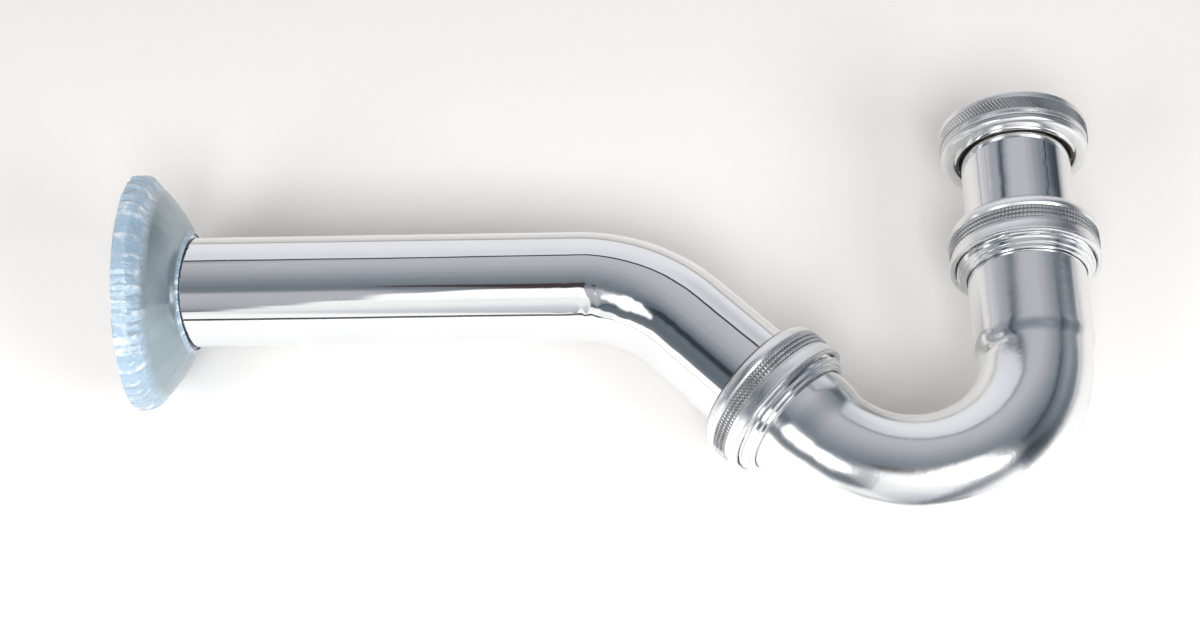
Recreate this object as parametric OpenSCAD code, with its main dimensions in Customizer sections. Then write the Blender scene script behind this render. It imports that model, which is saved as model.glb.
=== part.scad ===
// Tubular trap for a bidet: union nut and inlet tube, U-bend with two slip joints,
// wall tube with an elbow, and a sliding wall flange.
// The origin is the centre of the gasket's upper face, where the bidet's waste is seated.
// The inlet axis is Z, and the wall lies towards -X.
// The centre line of every tube lies in the plane Y = 0.

/* [Tubes] */
// Outside diameter of the inlet tube and of the wall tube
tube_od = 32; // [26:0.5:40]
// Wall of the inlet tube and of the wall tube
tube_wall = 0.8; // [0.6:0.1:1.2]
// Inlet tube in view between the union nut and the slip nut
inlet_show = 24; // [18:1:60]
// Wall tube in view between the outlet slip nut and the elbow
outlet_show = 26.9; // [18:0.1:60]
// Centre-line radius of the elbow
elbow_radius = 44; // [36:1:60]
// Straight run of the wall tube, from the elbow to its end
wall_run = 128; // [60:1:250]

/* [U-bend] */
// Outside diameter of the bent tube below that of the other tubes
bend_less = 0; // [0:0.5:6]
// Wall of the bent tube and of its sockets
bend_wall = 0.9; // [0.7:0.1:1.2]
// Centre-line radius of the bend
bend_radius = 36; // [30:1:60]
// Rise of the outlet leg above level, in degrees
outlet_rise = 45; // [30:1:60]
// Straight inlet leg below its collar
inlet_leg = 25.2; // [24:0.2:60]
// Straight outlet leg below its collar
outlet_leg = 8.9; // [8.5:0.1:30]
// Depth of the widened inlet socket below its collar
inlet_socket = 22.5; // [10:0.5:22.5]
// Depth of the widened outlet socket below its collar
outlet_socket = 5.2; // [4:0.1:7.4]
// Length over which a socket narrows to the tube
socket_taper = 1.2; // [0.8:0.1:1.2]

/* [Slip joints] */
// Radial room of a tube in its socket
tube_room = 0.15; // [0.1:0.05:0.3]
// Radial film of solder between a socket and its collar
solder_room = 0.05; // [0.03:0.01:0.1]
// Wall of the threaded collar at its thread
collar_wall = 2.75; // [2.2:0.05:3.5]
// Length of the collar
collar_length = 11.2; // [9:0.1:16]
// Collar in view below the slip nut
collar_show = 3.6; // [3:0.1:5]
// Height of the foot ring, where the collar is soldered on
foot_height = 1.1; // [0.8:0.1:1.5]
// Radial step from the shoulder to the foot ring
foot_step = 0.95; // [0.6:0.05:1.2]
// Height of the collar's shoulder above its foot ring
shoulder_height = 1.3; // [0.8:0.1:1.5]
// Radial step from the collar's thread to its shoulder
shoulder_step = 0.55; // [0.3:0.05:0.9]
// Depth of the conical seat in the collar's mouth
seat_depth = 2; // [1.5:0.1:3]
// Width of the conical seat
seat_width = 1.8; // [1.2:0.1:2]
// Radial room between the tube and the foot of the conical seat
seat_room = 0.6; // [0.4:0.1:1]
// Height of the tapered seal above the collar's mouth
seal_rise = 3; // [2:0.1:4]
// Radial room between a tube and its seal
seal_room = 0.1; // [0.05:0.05:0.2]
// Thickness of the friction ring
ring_thickness = 1.2; // [0.8:0.1:2]
// Radial room between a tube and its friction ring
ring_room = 0.25; // [0.15:0.05:0.4]
// Gap between pieces that are stacked in a slip nut
stack_gap = 0.05; // [0.03:0.01:0.1]

/* [Slip nuts] */
// Wall of the slip nut outside its thread
slip_wall = 1.75; // [1.4:0.05:2.5]
// Thickness of the lip that bears on the friction ring
slip_lip = 1.6; // [1.2:0.1:2.5]
// Radial room of the tube in the lip's hole
lip_room = 1; // [0.8:0.05:1.2]
// Radial room between the collar's thread and the nut
thread_room = 0.15; // [0.1:0.05:0.3]
// Radius of the round shoulder
slip_round = 4.2; // [3:0.1:4.5]
// Height of the plain rim at the open end
rim_height = 0.9; // [0.6:0.1:1.2]
// Height of the plain band between the rim and the grip rings
band_height = 3.5; // [2:0.1:4]
// Depth of the plain band behind the rim
band_recess = 0.3; // [0.2:0.05:0.4]
// Number of grip rings
grip_rings = 3; // [2:1:4]
// Pitch of the grip rings
grip_pitch = 1.33; // [1.1:0.01:1.5]
// Depth of the grooves beside the grip rings
grip_depth = 0.3; // [0.2:0.05:0.4]
// Width of the grooves' floor
grip_floor = 0.3; // [0.2:0.05:0.4]

/* [Union nut] */
// Height of the union nut
union_height = 10; // [9.5:0.5:14]
// Wall of the union nut outside its thread's minor diameter
union_wall = 2.5; // [2:0.05:3.5]
// Thickness of the lip below the flare
union_lip = 1.3; // [1:0.1:2]
// Radial room of the inlet tube in the lip's hole
union_room = 1.9; // [1.6:0.1:2]
// Depth of the relief below the thread
relief_depth = 0.7; // [0.5:0.1:0.9]
// Height of the relief above the gasket
relief_rise = 0.3; // [0.2:0.1:0.5]
// Height of the plain edge above the knurled band
edge_height = 1.8; // [1.2:0.1:2.5]
// Height of the knurled band
knurl_height = 4; // [3:0.1:4.2]
// Height of the neck below the knurled band
neck_height = 0.7; // [0.4:0.1:0.8]
// Depth of the neck below the knurled band
neck_depth = 0.7; // [0.4:0.1:0.8]
// Depth of the round shoulder below the neck
union_shoulder = 0.4; // [0.2:0.1:0.6]

/* [Flare and gasket] */
// Width of the flare beyond the inlet tube
flare_width = 3; // [2.6:0.1:3.4]
// Radius of the gentle curve in which the tube starts to widen
flare_sweep = 7; // [5:0.5:9]
// Turn of the gentle curve before the tight one, in degrees
flare_turn = 26; // [10:1:26]
// Radius of the tight curve that ends in the flat flare
flare_round = 1.5; // [1.2:0.1:1.6]
// Radial room between the flare and the union thread's minor diameter
flare_room = 0.475; // [0.475:0.025:1.2]
// Gap between the flare and the lip that turns under it
flare_gap = 0.1; // [0.05:0.05:0.2]
// Thickness of the flat gasket
gasket_thickness = 2; // [1.5:0.1:2.5]
// Radial margin of the gasket beyond the flare
gasket_margin = 0.2; // [0:0.1:0.4]
// Radial step of the gasket's hole behind the inlet tube's bore
gasket_step = 0.3; // [0:0.1:0.8]

/* [Insertion] */
// Inlet tube inside the socket, below the foot of the collar
inlet_insert = 20.5; // [8:0.5:20.5]
// Wall tube inside the socket, below the foot of the collar
outlet_insert = 4; // [3:0.1:4]

/* [Wall flange] */
// Diameter of the flange at its rim
flange_od = 67.5; // [55:0.5:90]
// Depth of the flange, from its rim to its hole
flange_depth = 16.2; // [14:0.1:20]
// Height of the upright band at the rim
flange_band = 2.5; // [1.5:0.1:4]
// Radius of the bend between the band and the dome
flange_round = 3; // [2:0.1:4]
// Radius of the dome between the bend and the hole
flange_dome = 44; // [30:1:120]
// Thickness of the pressed sheet
flange_sheet = 0.8; // [0.5:0.1:1.2]
// Radial room of the wall tube in the flange
flange_room = 0.6; // [0.55:0.05:1]
// Thickness of the protective film
film_sheet = 0.15; // [0.1:0.05:0.3]
// Gap between the flange and its film
film_gap = 0.05; // [0.03:0.01:0.1]
// Radial step of the film's edge behind the flange's hole
film_step = 0.6; // [0.4:0.1:2]

/* [Hidden] */
$fn = 64;

// Straight steps in each rounded corner of a profile
corner_steps = 8;
// Cut that is longer than the wall it goes through
over = 1;
// Radial thinning of a bent wall, and the length over which a straight tube tapers into it
bend_draw = 0.05;
bend_lap = 1;
// Broken edges of turned pieces, from the finest to the start of a thread
fine_edge = 0.2;
edge = 0.4;
thread_edge = 0.6;

chrome = "#c9ced2";
brass = "#c8a951";
rubber = "#2b2b2d";
film_blue = "#9db8cf";

// Radii of a slip joint, from the tube outwards
tube_r = tube_od / 2;
tube_bore = tube_r - tube_wall;
bend_r = tube_r - bend_less / 2;
bend_bore = bend_r - bend_wall;
seal_bore = tube_r + seal_room;
socket_bore = tube_r + tube_room;
ring_bore = tube_r + ring_room;
slip_hole = tube_r + lip_room;
seat_bore = tube_r + seat_room;
socket_r = socket_bore + bend_wall;
collar_bore = socket_r + solder_room;
seal_r = seat_bore + seat_width;
ring_r = seal_r + fine_edge;
chamber_r = ring_r + fine_edge;
collar_r = collar_bore + collar_wall;
shoulder_r = collar_r - shoulder_step;
foot_r = shoulder_r - foot_step;
slip_bore = collar_r + thread_room;
slip_r = slip_bore + slip_wall;

// Levels of a slip joint, from the foot of its collar outwards
shoulder_top = foot_height + shoulder_height;
slip_foot = collar_show;
band_foot = slip_foot + rim_height;
grip_foot = band_foot + band_height;
grip_top = grip_foot + grip_rings * grip_pitch;
seat_foot = collar_length - seat_depth;
socket_top = seat_foot - bend_wall;
seal_top = collar_length + seal_rise;
ring_foot = seal_top + stack_gap;
lip_foot = ring_foot + ring_thickness + stack_gap;
slip_top = lip_foot + slip_lip;

// Levels and radii at the union nut
flare_top = -gasket_thickness;
flare_foot = flare_top - tube_wall;
union_seat = flare_foot - flare_gap;
union_foot = union_seat - union_lip;
union_top = union_foot + union_height;
flare_r = tube_r + flare_width;
union_hole = tube_r + union_room;
union_bore = flare_r + flare_room;
relief_r = union_bore + relief_depth;
union_r = union_bore + union_wall;

// Places along the trap
inlet_joint_z = union_foot - inlet_show - slip_top;
bend_z = inlet_joint_z - inlet_leg;
elbow_foot = slip_top + outlet_show;

// Wall flange
flange_r = flange_od / 2;
flange_hole = tube_r + flange_room;

// Points of an arc about a centre, in a profile
function arc(centre, radius, from, to) =
    [for (i = [0:corner_steps])
        let (turn = from + (to - from) * i / corner_steps)
        centre + radius * [cos(turn), sin(turn)]];

function reversed(points) = [for (i = [len(points) - 1:-1:0]) points[i]];

// Children stand at the foot of the inlet collar, with Z out of its mouth
module at_inlet_joint() {
    translate([0, 0, inlet_joint_z])
        children();
}

// Children stand at the centre of the bend, with X towards the inlet leg
module at_bend() {
    translate([-bend_radius, 0, bend_z])
        children();
}

// Children stand at the foot of the outlet collar, with Z out of its mouth
module at_outlet_joint() {
    at_bend()
        rotate([0, outlet_rise + 90, 0])
            translate([bend_radius, 0, 0])
                rotate([0, 180, 0])
                    translate([0, 0, outlet_leg])
                        children();
}

// Children stand at the centre of the elbow, with X towards its lower end
module at_elbow() {
    at_outlet_joint()
        translate([-elbow_radius, 0, elbow_foot])
            children();
}

// Children stand on the wall tube's axis at the elbow, with Z towards the wall
module at_wall_run() {
    at_elbow()
        rotate([0, -outlet_rise, 0])
            translate([elbow_radius, 0, 0])
                children();
}

// Children stand at the end of the wall tube, with Z back towards the elbow
module at_wall() {
    at_wall_run()
        translate([0, 0, wall_run])
            rotate([180, 0, 0])
                children();
}

module revolve(points) {
    rotate_extrude()
        polygon(points);
}

module tube(outer, inner, length) {
    difference() {
        cylinder(h = length, r = outer);
        translate([0, 0, -over])
            cylinder(h = length + 2 * over, r = inner);
    }
}

// A hollow bend in the plane Y = 0, from +X towards -Z, with its wall drawn thinner
module tube_bend(outer, inner, radius, angle) {
    rotate([-90, 0, 0])
        rotate_extrude(angle = angle)
            translate([radius, 0])
                difference() {
                    circle(r = outer - bend_draw);
                    circle(r = inner + bend_draw);
                }
}

// Profile of a tube's end that tapers down into the wall of a bend, below a level
function lap_points(outer, inner, level) =
    [[inner, level], [inner + 2 * bend_draw, level - bend_lap],
     [outer - 2 * bend_draw, level - bend_lap], [outer, level]];

// A straight tube that grows out of the bend below it
module straight(outer, inner, length) {
    revolve(concat(lap_points(outer, inner, 0), [[outer, length], [inner, length]]));
}

// Widening side of the flare, from the tube to the flat, moved into the wall by a distance
function flare_curve(inwards) =
    let (turned = 180 - flare_turn,
         reach = (flare_sweep - flare_round) * [cos(turned), sin(turned)],
         level = flare_foot - flare_round,
         gentle = [tube_r + flare_sweep, level - reach[1]],
         tight = gentle + reach)
    concat(arc(gentle, flare_sweep + inwards, 180, turned),
           arc(tight, flare_round + inwards, turned, 90));

module inlet_tube() {
    foot = inlet_joint_z - inlet_insert;
    color(chrome)
        revolve(concat(
            [[tube_bore, foot], [tube_r, foot]],
            flare_curve(0),
            [[flare_r, flare_foot], [flare_r, flare_top]],
            reversed(flare_curve(tube_wall))));
}

module top_gasket() {
    color(rubber)
        translate([0, 0, flare_top])
            tube(flare_r + gasket_margin, tube_bore + gasket_step, gasket_thickness);
}

module top_union_nut() {
    band_top = union_top - edge_height;
    band_bottom = band_top - knurl_height;
    neck_bottom = band_bottom - neck_height;
    round_r = (neck_bottom - union_foot) / 2;
    round_centre = [union_r - union_shoulder - round_r, union_foot + round_r];
    color(chrome)
        revolve(concat(
            [[union_hole + fine_edge, union_foot]],
            arc(round_centre, round_r, -90, 90),
            [[union_r - neck_depth, neck_bottom], [union_r - neck_depth, band_bottom],
             [union_r - fine_edge, band_bottom], [union_r, band_bottom + fine_edge],
             [union_r, band_top - fine_edge], [union_r - fine_edge, band_top],
             [union_r - fine_edge, union_top - edge], [union_r - thread_edge, union_top],
             [union_bore + thread_edge, union_top], [union_bore, union_top - thread_edge],
             [union_bore, relief_rise], [relief_r, relief_rise - edge],
             [relief_r, union_seat], [union_hole + edge, union_seat],
             [union_hole, union_seat - edge], [union_hole, union_foot + fine_edge]]));
}

// A leg of the bend, from the bend's end to the socket's end inside the collar
module leg(length, socket) {
    taper_foot = -socket - socket_taper;
    revolve(concat(
        lap_points(bend_r, bend_bore, -length),
        [[bend_r, taper_foot], [socket_r, -socket],
         [socket_r, socket_top], [socket_bore, socket_top],
         [socket_bore, -socket - fine_edge], [bend_bore, taper_foot - fine_edge]]));
}

module u_bend() {
    color(chrome) {
        at_bend()
            tube_bend(bend_r, bend_bore, bend_radius, 90 + outlet_rise);
        at_inlet_joint()
            leg(inlet_leg, inlet_socket);
        at_outlet_joint()
            leg(outlet_leg, outlet_socket);
    }
}

module collar() {
    color(brass)
        revolve([
            [collar_bore, 0], [foot_r - fine_edge, 0], [foot_r, fine_edge],
            [foot_r, foot_height], [shoulder_r - fine_edge, foot_height],
            [shoulder_r, foot_height + fine_edge],
            [shoulder_r, shoulder_top - fine_edge], [shoulder_r - fine_edge, shoulder_top],
            [collar_r - edge, shoulder_top], [collar_r, shoulder_top + edge],
            [collar_r, collar_length - edge], [collar_r - edge, collar_length],
            [seal_r, collar_length], [seat_bore, seat_foot], [socket_bore, seat_foot],
            [socket_bore, socket_top], [collar_bore, socket_top]]);
}

module inlet_collar() {
    at_inlet_joint()
        collar();
}

module outlet_collar() {
    at_outlet_joint()
        collar();
}

module seal() {
    color(rubber)
        revolve([
            [seal_bore, seat_foot + stack_gap], [seat_bore, seat_foot + stack_gap],
            [seal_r, collar_length + stack_gap], [seal_r, seal_top], [seal_bore, seal_top]]);
}

module inlet_seal() {
    at_inlet_joint()
        seal();
}

module outlet_seal() {
    at_outlet_joint()
        seal();
}

module friction_ring() {
    color(brass)
        translate([0, 0, ring_foot])
            tube(ring_r, ring_bore, ring_thickness);
}

module inlet_friction_ring() {
    at_inlet_joint()
        friction_ring();
}

module outlet_friction_ring() {
    at_outlet_joint()
        friction_ring();
}

module slip_nut() {
    band_r = slip_r - band_recess;
    groove_r = slip_r - grip_depth;
    flank = (grip_pitch - grip_floor) / 4;
    round_centre = [groove_r + fine_edge / 2 - slip_round, slip_top - slip_round];
    thread_top = collar_length + thread_edge;
    grips = [for (i = [0:grip_rings - 1])
        let (foot = grip_foot + i * grip_pitch)
        each [[groove_r, foot], [groove_r, foot + grip_floor],
              [slip_r, foot + grip_floor + flank], [slip_r, foot + grip_pitch - flank]]];
    color(chrome)
        revolve(concat(
            [[slip_bore + edge, slip_foot], [slip_r - fine_edge, slip_foot],
             [slip_r, slip_foot + fine_edge], [slip_r, band_foot - fine_edge],
             [band_r, band_foot], [band_r, grip_foot - fine_edge]],
            grips,
            [[groove_r, grip_top], [groove_r, grip_top + grip_floor]],
            arc(round_centre, slip_round, 0, 90),
            [[slip_hole + fine_edge, slip_top], [slip_hole, slip_top - fine_edge],
             [slip_hole, lip_foot], [chamber_r, lip_foot],
             [chamber_r, thread_top + thread_edge], [slip_bore, thread_top],
             [slip_bore, slip_foot + edge]]));
}

module inlet_slip_nut() {
    at_inlet_joint()
        slip_nut();
}

module outlet_slip_nut() {
    at_outlet_joint()
        slip_nut();
}

module wall_tube() {
    color(chrome) {
        at_outlet_joint()
            translate([0, 0, elbow_foot])
                mirror([0, 0, 1])
                    straight(tube_r, tube_bore, outlet_insert + elbow_foot);
        at_elbow()
            mirror([0, 0, 1])
                tube_bend(tube_r, tube_bore, elbow_radius, outlet_rise);
        at_wall_run()
            straight(tube_r, tube_bore, wall_run);
    }
}

// Centre of the dome, which passes through the edge of the hole and runs smoothly into the bend
function dome_centre(bend) =
    let (chord = [flange_hole, flange_depth] - bend,
         inner = flange_dome - flange_round,
         along = (norm(chord) + (pow(inner, 2) - pow(flange_dome, 2)) / norm(chord)) / 2,
         aside = sqrt(pow(inner, 2) - pow(along, 2)))
    bend + (along * chord + aside * [-chord[1], chord[0]]) / norm(chord);

// The pressed outline of the flange from its rim to a hole, moved outwards by a distance
function flange_outline(out, hole) =
    let (bend = [flange_r - flange_round, flange_band],
         dome = dome_centre(bend),
         joined = atan2(bend[1] - dome[1], bend[0] - dome[0]),
         dome_r = flange_dome + out)
    concat([[flange_r + out, 0]],
           arc(bend, flange_round + out, 0, joined),
           arc(dome, dome_r, joined, acos((hole - dome[0]) / dome_r)));

// A revolved sheet between two distances out of the pressed outline
module flange_skin(outside, inside, hole) {
    at_wall()
        revolve(concat(
            flange_outline(outside, hole),
            reversed(flange_outline(inside, hole))));
}

module wall_flange() {
    color(chrome)
        flange_skin(0, -flange_sheet, flange_hole);
}

module flange_film() {
    color(film_blue)
        flange_skin(film_gap + film_sheet, film_gap, flange_hole + film_step);
}

inlet_tube();
top_gasket();
top_union_nut();
u_bend();
inlet_collar();
outlet_collar();
inlet_seal();
inlet_friction_ring();
inlet_slip_nut();
outlet_seal();
outlet_friction_ring();
outlet_slip_nut();
wall_tube();
wall_flange();
flange_film();
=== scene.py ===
import math

import bmesh
import bpy
from mathutils import Matrix, Vector, noise


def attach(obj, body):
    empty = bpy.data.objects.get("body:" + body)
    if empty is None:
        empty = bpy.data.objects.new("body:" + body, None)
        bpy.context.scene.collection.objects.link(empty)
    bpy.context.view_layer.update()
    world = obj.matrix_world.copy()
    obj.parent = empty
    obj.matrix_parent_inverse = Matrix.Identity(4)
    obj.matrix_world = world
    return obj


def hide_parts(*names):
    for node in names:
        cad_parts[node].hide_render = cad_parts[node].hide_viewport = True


bl_info = {
    "name": "Bidet trap",
    "version": (1, 0, 0),
    "blender": (4, 5, 0),
    "location": "View3D > Sidebar > Trap",
    "description": "Builds the visible pieces, finishes and studio of a chromed bidet trap",
    "category": "Object",
}

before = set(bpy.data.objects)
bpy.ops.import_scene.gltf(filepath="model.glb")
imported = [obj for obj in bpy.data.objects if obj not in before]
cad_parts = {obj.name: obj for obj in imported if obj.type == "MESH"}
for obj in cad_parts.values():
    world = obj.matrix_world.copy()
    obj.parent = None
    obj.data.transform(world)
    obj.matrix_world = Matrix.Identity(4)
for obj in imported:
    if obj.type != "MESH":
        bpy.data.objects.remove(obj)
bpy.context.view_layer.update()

MM = 0.001
TAU = 2 * math.pi
IMAGE_WIDTH = 1200


# ---------------------------------------------------------------- node helpers


class Wire:
    """A socket that adds Math nodes when it is used in an expression."""

    def __init__(self, maker, socket):
        self.maker = maker
        self.socket = socket

    def _math(self, operation, a, b=None):
        node = self.maker.node("ShaderNodeMath", {"operation": operation}, [a] if b is None else [a, b])
        return Wire(self.maker, node.outputs[0])

    def __add__(self, other):
        return self._math("ADD", self, other)

    __radd__ = __add__

    def __sub__(self, other):
        return self._math("SUBTRACT", self, other)

    def __rsub__(self, other):
        return self._math("SUBTRACT", other, self)

    def __mul__(self, other):
        return self._math("MULTIPLY", self, other)

    __rmul__ = __mul__

    def __truediv__(self, other):
        return self._math("DIVIDE", self, other)

    def __rtruediv__(self, other):
        return self._math("DIVIDE", other, self)

    def __pow__(self, other):
        return self._math("POWER", self, other)

    def __abs__(self):
        return self._math("ABSOLUTE", self)

    def angle_to(self, other):
        return self._math("ARCTAN2", self, other)

    def over(self, low, high):
        """0 below low and 1 above high, with a smooth step between."""
        node = self.maker.node(
            "ShaderNodeMapRange", {"interpolation_type": "SMOOTHSTEP"}, {"Value": self, "From Min": low, "From Max": high}
        )
        return Wire(self.maker, node.outputs["Result"])


class Maker:
    """Adds nodes to a tree."""

    def __init__(self, tree):
        self.tree = tree

    def node(self, kind, settings=None, values=None):
        node = self.tree.nodes.new(kind)
        for key, value in (settings or {}).items():
            if key == "stops":
                ramp = node.color_ramp
                while len(ramp.elements) < len(value):
                    ramp.elements.new(1.0)
                for element, (place, colour) in zip(ramp.elements, value):
                    element.position = place
                    element.color = colour
            else:
                setattr(node, key, value)
        pairs = values.items() if isinstance(values, dict) else enumerate(values or [])
        for key, value in pairs:
            socket = node.inputs[key]
            if isinstance(value, Wire):
                self.tree.links.new(value.socket, socket)
            elif isinstance(value, bpy.types.NodeSocket):
                self.tree.links.new(value, socket)
            else:
                socket.default_value = value
        return node

    def wire(self, kind, settings=None, values=None, output=0):
        return Wire(self, self.node(kind, settings, values).outputs[output])

    def noise(self, where, scale, detail=2.0, roughness=0.5):
        return self.wire(
            "ShaderNodeTexNoise",
            {"noise_dimensions": "3D"},
            {"Vector": where, "Scale": scale, "Detail": detail, "Roughness": roughness},
        )

    def mix(self, factor, a, b):
        node = self.node("ShaderNodeMix", {"data_type": "RGBA"}, {"Factor": factor})
        for name, value in (("A", a), ("B", b)):
            socket = next(s for s in node.inputs if s.name == name and s.type == "RGBA")
            if isinstance(value, Wire):
                self.tree.links.new(value.socket, socket)
            else:
                socket.default_value = value
        return Wire(self, next(s for s in node.outputs if s.type == "RGBA"))


def shader(name):
    """A new material, its maker, its Principled node and its Object coordinates."""
    material = bpy.data.materials.new(name)
    material.use_nodes = True
    tree = material.node_tree
    tree.nodes.clear()
    maker = Maker(tree)
    output = maker.node("ShaderNodeOutputMaterial")
    skin = maker.node("ShaderNodeBsdfPrincipled")
    tree.links.new(skin.outputs["BSDF"], output.inputs["Surface"])
    where = maker.wire("ShaderNodeTexCoord", output="Object")
    return material, maker, skin, where


def feed(maker, skin, **links):
    for name, value in links.items():
        socket = skin.inputs[name.replace("_", " ")]
        if isinstance(value, Wire):
            maker.tree.links.new(value.socket, socket)
        else:
            socket.default_value = value


def bump(maker, height, strength, distance):
    return maker.wire("ShaderNodeBump", None, {"Height": height, "Strength": strength, "Distance": distance})


def chrome(name, tint, wave=0.0, rough=0.035, peel=0.0, dust=0.0):
    """Polished chrome with faint haze and the slight waviness of a drawn tube."""
    material, maker, skin, where = shader(name)
    haze = maker.noise(where, 60.0, 3.0)
    fine = maker.noise(where, 900.0, 2.0)
    specks = maker.noise(where, 1300.0, 1.0)
    feed(
        maker,
        skin,
        Base_Color=maker.mix(haze.over(0.3, 0.75), (*[c * 0.97 for c in tint], 1), (*tint, 1)),
        Metallic=1.0,
        Roughness=rough + 0.6 * rough * haze.over(0.45, 0.8) + 0.01 * fine + dust * specks.over(0.71, 0.78),
    )
    if wave:
        long_wave = maker.wire("ShaderNodeMapping", None, {"Vector": where, "Scale": (18.0, 60.0, 60.0)})
        height = maker.noise(long_wave, 1.0, 2.0)
        if peel:
            height = height + peel * maker.noise(where, 600.0, 1.0)
        feed(maker, skin, Normal=bump(maker, height, wave, 0.001))
    return material


def rubber(name, colour):
    material, maker, skin, where = shader(name)
    grain = maker.noise(where, 1500.0, 3.0)
    bloom = maker.noise(where, 90.0, 2.0)
    light = tuple(min(1.0, c * 2.2 + 0.01) for c in colour)
    feed(
        maker,
        skin,
        Base_Color=maker.mix(bloom.over(0.45, 0.8), (*colour, 1), (*light, 1)),
        Roughness=0.55 + 0.2 * grain,
        Normal=bump(maker, grain, 0.25, 0.0002),
    )
    return material


def film(name, tint, pale):
    """Thin pale blue film that clings to polished metal: greyer on the dome, bluer in its crimped edges, whose folds
    are painted near white, partly the whitening of stretched film and partly a painted highlight.
    """
    material, maker, skin, where = shader(name)
    cloud = maker.noise(where, 55.0, 3.0)
    split = maker.node("ShaderNodeSeparateXYZ", None, {"Vector": where.socket})
    across = Wire(maker, split.outputs["Y"])
    up = Wire(maker, split.outputs["Z"]) - WALL_Z * MM
    radius = (across * across + up * up) ** 0.5
    edges = radius.over(0.0285, 0.0315) + 1 - radius.over(0.0176, 0.0188)
    ring = maker.wire("ShaderNodeCombineXYZ", None, [12.0 * across / radius, 12.0 * up / radius, 90.0 * radius])
    folds = 0.65 * maker.noise(ring, 1.0, 3.0) + 0.35 * maker.noise(where, 420.0, 2.0)
    stretched = maker.wire("ShaderNodeMapping", None, {"Vector": where, "Scale": (60.0, 300.0, 300.0)})
    scratch = maker.noise(stretched, 1.0, 3.0)
    # The folds are painted near white: partly stretched film, partly a painted highlight.
    crimped = maker.mix(folds.over(0.50, 0.68), (*pale, 1), (0.82, 0.87, 0.90, 1))
    colour = maker.mix(edges, (*tint, 1), crimped)
    feed(
        maker,
        skin,
        Base_Color=maker.mix(0.30 * cloud.over(0.4, 0.8), colour, (0.62, 0.70, 0.75, 1)),
        Metallic=0.66 - 0.30 * edges,
        Roughness=0.26 + 0.12 * cloud + 0.06 * scratch - 0.08 * edges,
        Normal=bump(maker, cloud + 0.25 * scratch + 3.5 * edges * folds, 0.6, 0.0008),
    )
    skin.inputs["Coat Weight"].default_value = 0.35
    skin.inputs["Coat Roughness"].default_value = 0.10
    return material


# ---------------------------------------------------------------- mesh helpers


def rounded(points, steps=4):
    """A closed profile whose points are (r, z) or (r, z, fillet), with each fillet drawn as an arc."""
    out = []
    count = len(points)
    for i, point in enumerate(points):
        here = Vector(point[:2])
        fillet = point[2] if len(point) > 2 else 0.0
        before = Vector(points[i - 1][:2]) - here
        after = Vector(points[(i + 1) % count][:2]) - here
        if not fillet or before.length < 1e-9 or after.length < 1e-9:
            out.append(tuple(here))
            continue
        a, b = before.normalized(), after.normalized()
        half = math.acos(max(-1, min(1, a.dot(b)))) / 2
        if half > math.pi / 2 - 0.02 or half < 0.02:
            out.append(tuple(here))
            continue
        reach = min(fillet / math.tan(half), 0.49 * before.length, 0.49 * after.length)
        start, end = here + a * reach, here + b * reach
        radius = reach * math.tan(half)
        centre = here + (a + b).normalized() * (radius / math.sin(half))
        u, v = start - centre, end - centre
        angle = math.acos(max(-1, min(1, u.normalized().dot(v.normalized()))))
        for k in range(steps + 1):
            t = k / steps
            w = (math.sin((1 - t) * angle) * u + math.sin(t * angle) * v) / math.sin(angle)
            out.append(tuple(centre + w))
    return out


def finish_mesh(name, bm, materials, sharp=35.0):
    """Turns a bmesh into an object at the origin with smooth faces and sharp edges by angle."""
    mesh = bpy.data.meshes.new(name)
    bmesh.ops.remove_doubles(bm, verts=bm.verts, dist=1e-8)
    bmesh.ops.recalc_face_normals(bm, faces=bm.faces)
    bm.to_mesh(mesh)
    bm.free()
    mesh.shade_smooth()
    mesh.set_sharp_from_angle(angle=math.radians(sharp))
    for material in materials:
        mesh.materials.append(material)
    obj = bpy.data.objects.new(name, mesh)
    bpy.context.scene.collection.objects.link(obj)
    return obj


def ring_grid(rings, close_rings, close_ends):
    """A bmesh of quads over a list of equally long rings of points."""
    bm = bmesh.new()
    rows = [[bm.verts.new(p) for p in ring] for ring in rings]
    count = len(rows[0])
    spans = len(rows) if close_ends else len(rows) - 1
    for i in range(spans):
        a, b = rows[i], rows[(i + 1) % len(rows)]
        for j in range(count if close_rings else count - 1):
            k = (j + 1) % count
            bm.faces.new((a[j], a[k], b[k], b[j]))
    return bm


def lathe(name, profile, place, materials, segments=128, sharp=35.0, offset=None, wears=None):
    """Revolves a closed (r, z) profile in millimetres about Z, then puts it in place.

    wears gives the number of the material on a part of the profile."""
    rings = []
    for j in range(segments):
        turn = TAU * j / segments
        ring = []
        for i, (r, z) in enumerate(profile):
            if offset:
                dr, dz = offset(i, r, z, turn)
                r, z = r + dr, z + dz
            ring.append(place @ Vector((r * math.cos(turn) * MM, r * math.sin(turn) * MM, z * MM)))
        rings.append(ring)
    bm = ring_grid(rings, True, True)
    if wears:
        count = len(profile)
        for i, face in enumerate(bm.faces):
            (r0, z0), (r1, z1) = profile[i % count], profile[(i % count + 1) % count]
            face.material_index = wears((r0 + r1) / 2, (z0 + z1) / 2)
    return finish_mesh(name, bm, materials, sharp)


# ---------------------------------------------------------------- the trap's own shape


def at(point, x_axis, z_axis):
    """A placing matrix from a point in millimetres and two axes."""
    z = Vector(z_axis).normalized()
    x = Vector(x_axis).normalized()
    y = z.cross(x)
    m = Matrix((x, y, z)).transposed().to_4x4()
    m.translation = Vector(point) * MM
    return m


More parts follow.
